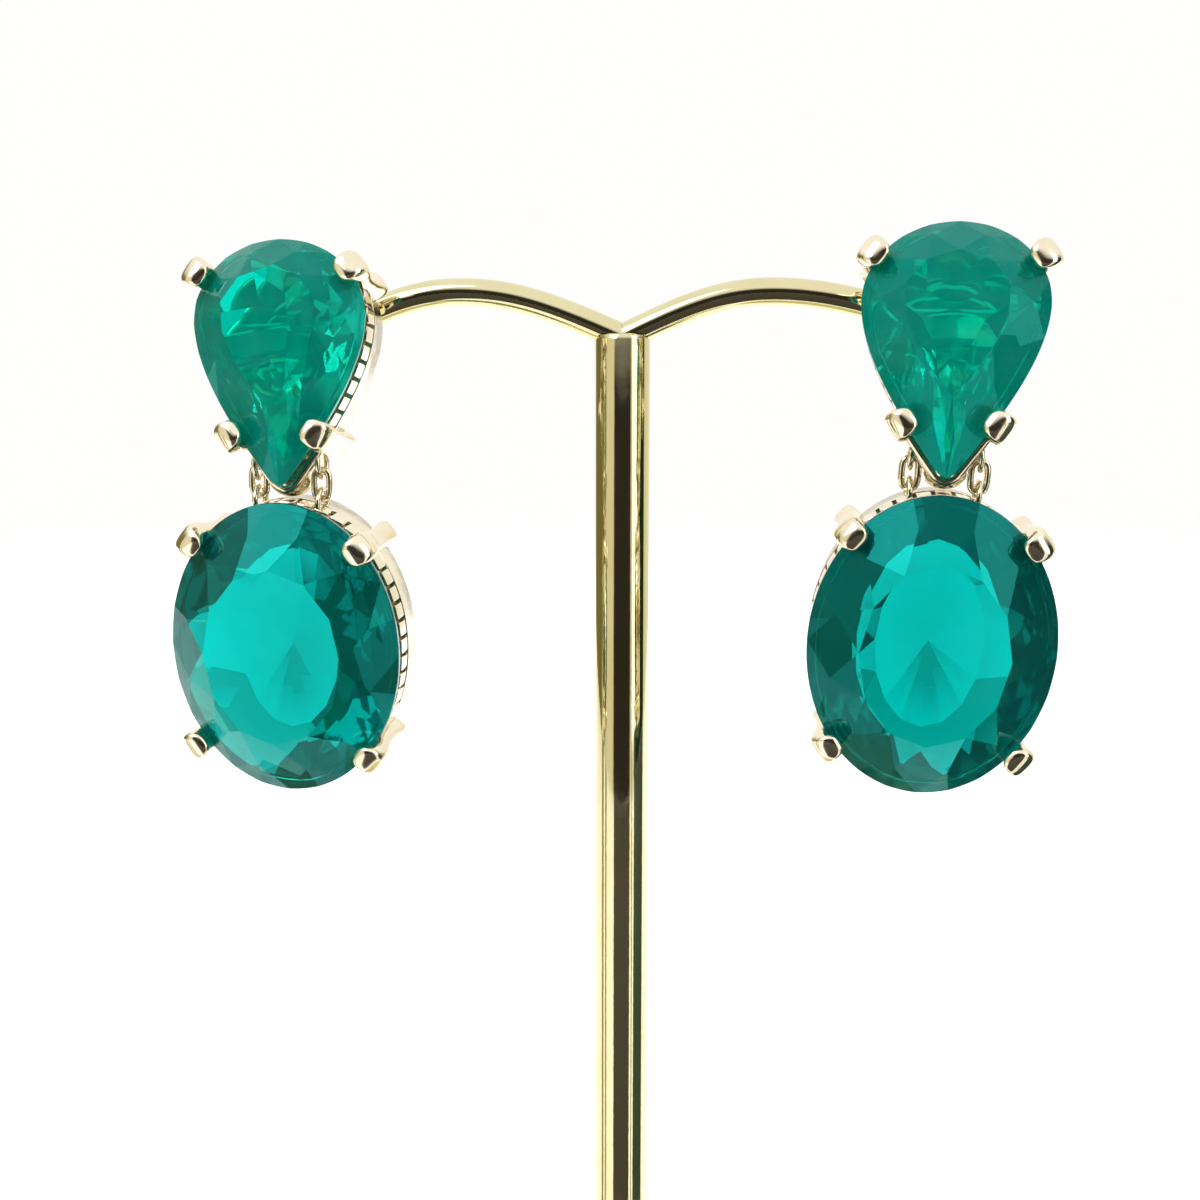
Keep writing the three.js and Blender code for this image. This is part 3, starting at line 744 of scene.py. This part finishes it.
def tip_cup():
    """The rounded end of the pear's basket, seen just below the point of the stone."""
    arc = [(math.cos(0.4 * n), math.sin(0.4 * n)) for n in range(-3, 4)]
    mesh = turned("tip_cup", [(0, -1)] + arc + [(0, 1)], 32)
    mesh.transform(Matrix.Diagonal((CUP["width"], CUP["depth"], CUP["height"], 1)))
    mesh.transform(Matrix.Translation((0, CUP["back"], CUP["drop"] - PEAR["point_drop"])))
    return smoothed(mesh, 1)


print("the rim starts at a share of", RAIL["start"], "of the pear's edge")

# %% [markdown]
# ## Links
# A link is a long wire loop that faces the front and passes through two eyelets, so it
# shows as two parallel strands. Its path is a circle whose corners are pushed outwards,
# which keeps the long sides nearly straight.

# %% Links
LINK = dict(wire=0.45, pivot_drop=0.66, width=1.5, reach=0.62, squareness=0.6)


def link_path(steps=64):
    """A long loop about both pivots, with its sides nearly straight."""
    half_width = (LINK["width"] - LINK["wire"]) / 2
    half_length = LINK["pivot_drop"] / 2 + LINK["reach"]
    path = []
    for n in range(steps):
        a = 2 * math.pi * n / steps
        x, z = (math.copysign(abs(v) ** LINK["squareness"], v) for v in (math.sin(a), math.cos(a)))
        path.append(Vector((half_width * x, 0, half_length * z - LINK["pivot_drop"] / 2)))
    return path


print("a link is", round(LINK["pivot_drop"] + 2 * LINK["reach"] + LINK["wire"], 2), "mm long")

# %% [markdown]
# ## The ear post, its bridge and the nut
# A bar across the back of the pear's gallery carries the ear post. The post goes through
# the eye at the arm's end, and a nut keeps it there. They hardly show from the front, but
# the object is seen from behind too.

# %% Sizes behind the stone
POST = dict(radius=0.45, length=10.0, below=0.8, groove=1.85, groove_depth=0.08)
BRIDGE = dict(height=1.8, thickness=0.8, overlap=0.1)
NUT = dict(flange=3.7, flange_thickness=0.6, collar=1.5, length=2.3, bore=0.1)
EYE = dict(radius=1.9, thickness=1.4, play=0.15)
BACK_GAP = 0.3
BRIDGE_BACK = WALL["back"] + BRIDGE["thickness"] - BRIDGE["overlap"]
EYE_MIDDLE = BRIDGE_BACK + BACK_GAP + EYE["thickness"] / 2
NUT_FRONT = EYE_MIDDLE + EYE["thickness"] / 2 + BACK_GAP
POST_END = BRIDGE_BACK + POST["length"]
print("the ear post ends", round(POST_END, 2), "mm behind the middle of the girdle")


# %% Ear post, bridge and nut
def lowered(mesh):
    mesh.transform(Matrix.Translation((0, 0, -POST["below"])))
    return mesh


def ear_post():
    start, r, end = BRIDGE_BACK - BRIDGE["thickness"] / 2, POST["radius"], POST_END
    groove, low = end - POST["groove"], r - POST["groove_depth"]
    profile = [
        (0, start), (r, start), (r, groove - 0.35), (low, groove - 0.15), (low, groove + 0.15),
        (r, groove + 0.35), (r, end - 0.35), (r - 0.06, end - 0.15), (r - 0.18, end - 0.03), (0, end),
    ]
    return lowered(turned("ear_post", profile, sides=32))


def bridge():
    """The bar, with its ends cut where the wall's middle line is at that height."""
    half = 0.5 * BRIDGE["height"]
    reach = max(
        pear_edge(n / 200).x - WALL["inset"] - WALL["thickness"] / 2
        for n in range(201) if pear_edge(n / 200).y > -POST["below"]
    )
    front, back, soft = BRIDGE_BACK - BRIDGE["thickness"], BRIDGE_BACK, 0.2
    section = [
        (front, -half + soft), (front + soft, -half), (back - soft, -half), (back, -half + soft),
        (back, half - soft), (back - soft, half), (front + soft, half), (front, half - soft),
    ]
    rings = [[Vector((x, y, z)) for y, z in section] for x in (-reach, reach)]
    return lowered(ring_mesh("bridge", rings, closed_path=False))


def nut():
    bore, front = POST["radius"] + NUT["bore"], NUT_FRONT
    rim, collar, end = NUT["flange"], NUT["collar"], NUT_FRONT + NUT["length"]
    flat = front + NUT["flange_thickness"]
    profile = [
        (bore, front), (rim - 0.25, front), (rim - 0.07, front + 0.07), (rim, front + 0.25),
        (rim, flat - 0.2), (rim - 0.08, flat - 0.06), (rim - 0.25, flat),
        (collar + 0.3, flat), (collar + 0.05, flat + 0.08), (collar - 0.05, flat + 0.3),
        (collar - 0.25, end - 0.2), (collar - 0.4, end - 0.04), (bore + 0.2, end), (bore, end - 0.1),
    ]
    return lowered(turned("nut", profile))


# %% [markdown]
# ## Putting the earrings together
# A jeweller solders each gallery, its claws and its eyelets into one piece, so each setting
# here is one object too. A setting and its nut use the frame of their stone, because the
# gallery was drawn around it. A link uses the frame of the hinge that it turns on, which
# the record gives, so it stays in its eyelets when the earring swings.

# %% Hinge frames
joints = {joint["name"]: joint for joint in frame["record"]["behaviour"]["joints"]}


def hinge_frame(joint):
    """The frame of a hinge: its axis is x, and z is as upright as the axis allows."""
    x = Vector(joint["axis"]).normalized()
    y = Vector((0, 0, 1)).cross(x).normalized()
    turn = Matrix((x, y, x.cross(y))).transposed().to_4x4()
    return Matrix.Translation(joint["pos_m"]) @ turn @ Matrix.Scale(MM, 4)


# %% Parts of a setting
def pear_setting_parts():
    wall = [gallery_wall("pear_wall", pear_edge), gallery_teeth("pear_teeth", "pear"), ear_post(), bridge()]
    return wall + claws("pear") + [eyelets("pear_eyelets", PEAR_EYELET.y), tip_rail(), tip_cup()]


def oval_setting_parts():
    wall = [gallery_wall("oval_wall", oval_edge), gallery_teeth("oval_teeth", "oval")]
    return wall + claws("oval") + [eyelets("oval_eyelets", OVAL_EYELET_Z)]


def wire_link():
    values = {"Radius": LINK["wire"] / 2, "Sides": 20, "Material": SETTING_GOLD}
    return curve_mesh("link", [link_path()], WIRE, values, closed=True)


# %% Build the earrings
def setting_piece(name, parts, place, node):
    gather(name, parts, place, node, SETTING_GOLD)


for side in SIDES:
    pear_place, oval_place = PLACE[side, "pear"], PLACE[side, "oval"]
    setting_piece(f"{side}_pear_claw_setting", pear_setting_parts(), pear_place, f"{side}_pear_setting")
    setting_piece(f"{side}_oval_claw_setting", oval_setting_parts(), oval_place, f"{side}_oval_setting")
    setting_piece(f"{side}_nut", [nut()], pear_place, f"{side}_ear_nut")
    pivot = hinge_frame(joints[f"{side}_upper_swing"])
    for number, sign in (("1", -1), ("2", 1)):
        place = pivot @ Matrix.Translation((sign * SPREAD, 0, 0))
        setting_piece(f"{side}_wire_link_{number}", [wire_link()], place, f"{side}_link_{number}")

# %% [markdown]
# ## The stand
# The stand is a straight post with one bent rod laid across its top, whose ends are pressed
# flat and drilled. The rod dips to the post in the middle, like the wings of a gull. The
# wire tree draws it, and the post and the round foot are turned.

# %% Stand sizes and the rod's path
BASE = dict(radius=22.0, thickness=3.0, edge=0.8)
COLUMN = dict(radius=1.9, height=84.0)
ARM = dict(radius=0.95, rise=3.1)
# How far along each half of an arm its bends lie, as shares
ARM_BEND = dict(start=(0.45, 0.72), shoulder=0.68, top=0.36, fall=(0.7, 0.45))
ARMS = {
    "left": dict(sign=-1, reach=21.6, crest=11.3, end_rise=-0.7),
    "right": dict(sign=1, reach=22.0, crest=10.2, end_rise=0.2),
}


def arm_path(arm, steps=40):
    crest, reach, rise, end = arm["crest"], arm["reach"], ARM["rise"], arm["end_rise"]
    run, fall = reach - crest, rise - end
    (start_x, start_z), (fall_x, fall_z) = ARM_BEND["start"], ARM_BEND["fall"]
    inner = [(0, 0), (start_x * crest, start_z * rise), (ARM_BEND["shoulder"] * crest, rise), (crest, rise)]
    past_crest = (crest + ARM_BEND["top"] * run, rise)
    falling = (crest + fall_x * run, rise - fall_z * fall)
    outer = [(crest, rise), past_crest, falling, (reach, end)]
    path = []
    for part in (inner, outer):
        points = [Vector(p) for p in part]
        path += [bezier(points, n / steps) for n in range(steps + (part is outer))]
    return [Vector((arm["sign"] * p.x, 0, COLUMN["height"] + p.y)) for p in path]


# %% Parts of the stand
def stood_up(mesh):
    """Turns a body of the y axis upright."""
    mesh.transform(Matrix.Rotation(math.pi / 2, 4, "X"))
    return mesh


def stand_foot():
    r, t, e = BASE["radius"], BASE["thickness"], BASE["edge"]
    arc = [(r - e * (1 - math.sin(a)), t - e * (1 - math.cos(a))) for a in (1.4, 1.1, 0.8, 0.5, 0.2)]
    profile = [(0, 0), (r - 0.5, 0), (r - 0.15, 0.15), (r, 0.5)] + arc + [(r - e - 0.1, t), (0, t)]
    return stood_up(turned("foot", profile, sides=128))


def stand_post():
    r, top, low = COLUMN["radius"], COLUMN["height"] + ARM["radius"] / 3, BASE["thickness"]
    profile = [(0, low), (r, low), (r, top - 0.35), (r - 0.1, top - 0.1), (r - 0.35, top), (0, top)]
    return stood_up(turned("post", profile, sides=64))


def eye_pad():
    r, bore = EYE["radius"], POST["radius"] + EYE["play"]
    front, back = EYE_MIDDLE - EYE["thickness"] / 2, EYE_MIDDLE + EYE["thickness"] / 2
    profile = [
        (bore, front + 0.1), (bore + 0.1, front), (r - 0.2, front), (r, front + 0.2),
        (r, back - 0.2), (r - 0.2, back), (bore + 0.1, back), (bore, back - 0.1),
    ]
    return lowered(turned("eye", profile, sides=48))


def stand_rod():
    paths = [list(reversed(arm_path(ARMS["left"]))) + arm_path(ARMS["right"])[1:]]
    values = {"Radius": ARM["radius"], "Sides": 32, "Material": STAND_METAL}
    return curve_mesh("rod", paths, WIRE, values)


# %% Build the stand
upright = Matrix.Scale(MM, 4)
gather("round_foot", [stand_foot()], upright, "stand_base", STAND_METAL)
frame_parts = [stand_post(), stand_rod()]
for side in SIDES:
    pad = eye_pad()
    pad.transform(upright.inverted() @ PLACE[side, "pear"])
    frame_parts.append(pad)
gather("post_and_arms", frame_parts, upright, "stand_frame", STAND_METAL)

# %% [markdown]
# ## The floor
# The photo has a white ground. A small round floor of pale matt board keeps the soft shadow
# under the foot, and it ends where the white sky takes over. Its tone varies very slightly,
# because real board is never one even colour.

# %% Floor
FLOOR_RADIUS = 0.55
FLOOR_DROP = 0.0001


def floor():
    spot = (0, 0, -FLOOR_DROP)
    bpy.ops.mesh.primitive_circle_add(vertices=96, radius=FLOOR_RADIUS, fill_type="NGON", location=spot)
    ground = bpy.context.object
    ground.name = "floor"
    material, tree, shader = shader_material("pale_floor")
    shader.inputs["Roughness"].default_value = 0.6
    tone = ramp(tree, noise(tree, 9, 3), [(0.3, (0.93, 0.925, 0.91)), (0.7, (0.96, 0.955, 0.94))])
    tree.links.new(tone, shader.inputs["Base Color"])
    ground.data.materials.append(material)


floor()

# %% [markdown]
# ## Dark cards
# Polished metal and clear stones only show what is around them, and in an all white room
# they would vanish. A photographer of jewellery stands dark cards round the piece. Here
# dark cards lie on the floor like rays, out of the camera's sight and without a shadow,
# so the post carries straight dark stripes and the facets have something dark to catch.

# %% Dark cards
BROWN, GREEN_BLACK = (0.030, 0.026, 0.022), (0.012, 0.030, 0.018)
# Compass directions in degrees, from +x towards +y. The camera stands at about -85.
CARDS = [
    (-178, -168, (0.22, 0.18, 0.07)), (-160, -152, (0.30, 0.25, 0.10)), (-118, -50, BROWN),
    (-42, -38, (0.25, 0.21, 0.08)), (-31, 17, GREEN_BLACK),
]
CARD_REACH = (0.035, 0.54)  # from the foot outwards, in metres
CARD_HEIGHT = 0.0004


def floor_card(start, end, colour, steps=12):
    near, far = CARD_REACH
    angles = [math.radians(start + (end - start) * n / steps) for n in range(steps + 1)]
    spots = [(r * math.cos(a), r * math.sin(a), CARD_HEIGHT) for r in (near, far) for a in angles]
    faces = [(n, n + 1, n + steps + 2, n + steps + 1) for n in range(steps)]
    card = bpy.data.objects.new("dark_card", mesh_from("dark_card", spots, faces))
    bpy.context.scene.collection.objects.link(card)
    material, tree, shader = shader_material("card_cloth")
    shader.inputs["Base Color"].default_value = (*colour, 1)
    shader.inputs["Roughness"].default_value = 0.9
    card.data.materials.append(material)
    card.visible_camera = card.visible_diffuse = card.visible_shadow = False


for start, end, colour in CARDS:
    floor_card(start, end, colour)
print("dark cards:", len(CARDS))

# %% [markdown]
# ## The sky
# The floor's cards go on upwards as dark strips that are painted on the sky by compass
# direction, with white overhead. The camera itself sees plain white. The view transform is
# Standard, because the default one greys strong greens.

# %% Sky
WHITE, PALE, GOLD, OLIVE = (0.96, 0.93, 0.86), (0.80, 0.75, 0.58), (0.66, 0.56, 0.32), (0.20, 0.17, 0.06)
# Share of a full turn, from -x towards -y: the colour of the sky in that direction
SKY_STRIPS = [
    (0.00, OLIVE), (0.03, OLIVE), (0.04, PALE), (0.055, PALE), (0.06, GOLD), (0.075, PALE),
    (0.155, PALE), (0.17, BROWN), (0.355, BROWN), (0.37, PALE), (0.38, PALE), (0.385, OLIVE),
    (0.393, PALE), (0.403, WHITE), (0.415, GREEN_BLACK), (0.545, GREEN_BLACK), (0.56, PALE),
    (0.70, WHITE), (0.84, WHITE), (0.87, OLIVE), (1.0, OLIVE),
]


def studio_sky():
    world = bpy.data.worlds.new("studio")
    bpy.context.scene.world = world
    world.use_nodes = True
    tree = world.node_tree
    tree.nodes.clear()
    new, link = tree.nodes.new, tree.links.new
    way = new("ShaderNodeTexCoord")
    turn = new("ShaderNodeTexGradient")
    turn.gradient_type = "RADIAL"
    link(way.outputs["Generated"], turn.inputs["Vector"])
    strips = ramp(tree, turn.outputs["Fac"], SKY_STRIPS)
    split = new("ShaderNodeSeparateXYZ")
    link(way.outputs["Generated"], split.inputs[0])
    overhead = ramp(tree, split.outputs["Z"], [(0.30, 0.0), (0.55, 1.0)])
    mixed = new("ShaderNodeMix")
    mixed.data_type = "RGBA"
    link(overhead, mixed.inputs["Factor"])
    link(strips, mixed.inputs["A"])
    mixed.inputs["B"].default_value = (1, 0.995, 0.98, 1)
    around = new("ShaderNodeBackground")
    around.inputs["Strength"].default_value = 1.1
    link(mixed.outputs["Result"], around.inputs["Color"])
    seen = new("ShaderNodeBackground")
    seen.inputs["Color"].default_value = (1, 0.995, 0.985, 1)
    path = new("ShaderNodeLightPath")
    choose = new("ShaderNodeMixShader")
    output = new("ShaderNodeOutputWorld")
    link(path.outputs["Is Camera Ray"], choose.inputs[0])
    link(around.outputs[0], choose.inputs[1])
    link(seen.outputs[0], choose.inputs[2])
    link(choose.outputs[0], output.inputs["Surface"])


studio_sky()
bpy.context.scene.view_settings.view_transform = "Standard"
print("stops in the sky:", len(SKY_STRIPS))

# %% [markdown]
# ## The lights
# Three wide softboxes stand around the piece. The key comes from the upper left, a weaker
# fill from the right, and one behind lights the stones through their open backs. That last
# one is kept out of reflections, where it would show as a hard white patch.

# %% Lights
def softbox(name, spot, aim, size, power, colour=(1, 1, 1), shows=True):
    lamp = bpy.data.lights.new(name, "AREA")
    lamp.shape = "RECTANGLE"
    lamp.size, lamp.size_y = size
    lamp.energy = power
    lamp.color = colour
    holder = bpy.data.objects.new(name, lamp)
    holder.location = spot
    holder.visible_glossy = holder.visible_transmission = shows
    holder.rotation_euler = (Vector(aim) - Vector(spot)).to_track_quat("-Z", "Y").to_euler()
    bpy.context.scene.collection.objects.link(holder)


MIDDLE = (0, 0, 0.07)
softbox("key", (-0.25, -0.30, 0.40), MIDDLE, (0.30, 0.30), 1.0)
softbox("fill", (0.38, -0.22, 0.20), MIDDLE, (0.20, 0.35), 0.4, (1, 0.98, 0.94))
softbox("back", (0.05, 0.40, 0.30), MIDDLE, (0.5, 0.3), 1.8, shows=False)

# %% [markdown]
# ## The camera
# The stones' outlines, their tilt and the way the arms are seen from above give the
# camera's place: a little above the earrings and a few degrees to the right.

# %% Camera
PHOTO_WIDTH = 1200  # in pixels, like the focal length
FOCAL_PX = 1500
SENSOR = 36.0  # in millimetres
AZIMUTH, ELEVATION = math.radians(5.0), math.radians(10.49)
TARGET = Vector((-1.56, 0, 65.66)) * MM
DISTANCE = 106.5 * MM


def photo_camera():
    view = bpy.data.cameras.new("photo_view")
    view.sensor_width = SENSOR
    view.lens = SENSOR * FOCAL_PX / PHOTO_WIDTH
    view.clip_start = 0.002
    holder = bpy.data.objects.new("photo_view", view)
    flat = math.cos(ELEVATION)
    back = Vector((math.sin(AZIMUTH) * flat, -math.cos(AZIMUTH) * flat, math.sin(ELEVATION)))
    holder.location = TARGET + back * DISTANCE
    holder.rotation_euler = back.to_track_quat("Z", "Y").to_euler()
    bpy.context.scene.collection.objects.link(holder)
    bpy.context.scene.camera = holder


photo_camera()
print("camera at", tuple(round(c * 1000, 1) for c in bpy.context.scene.camera.location))
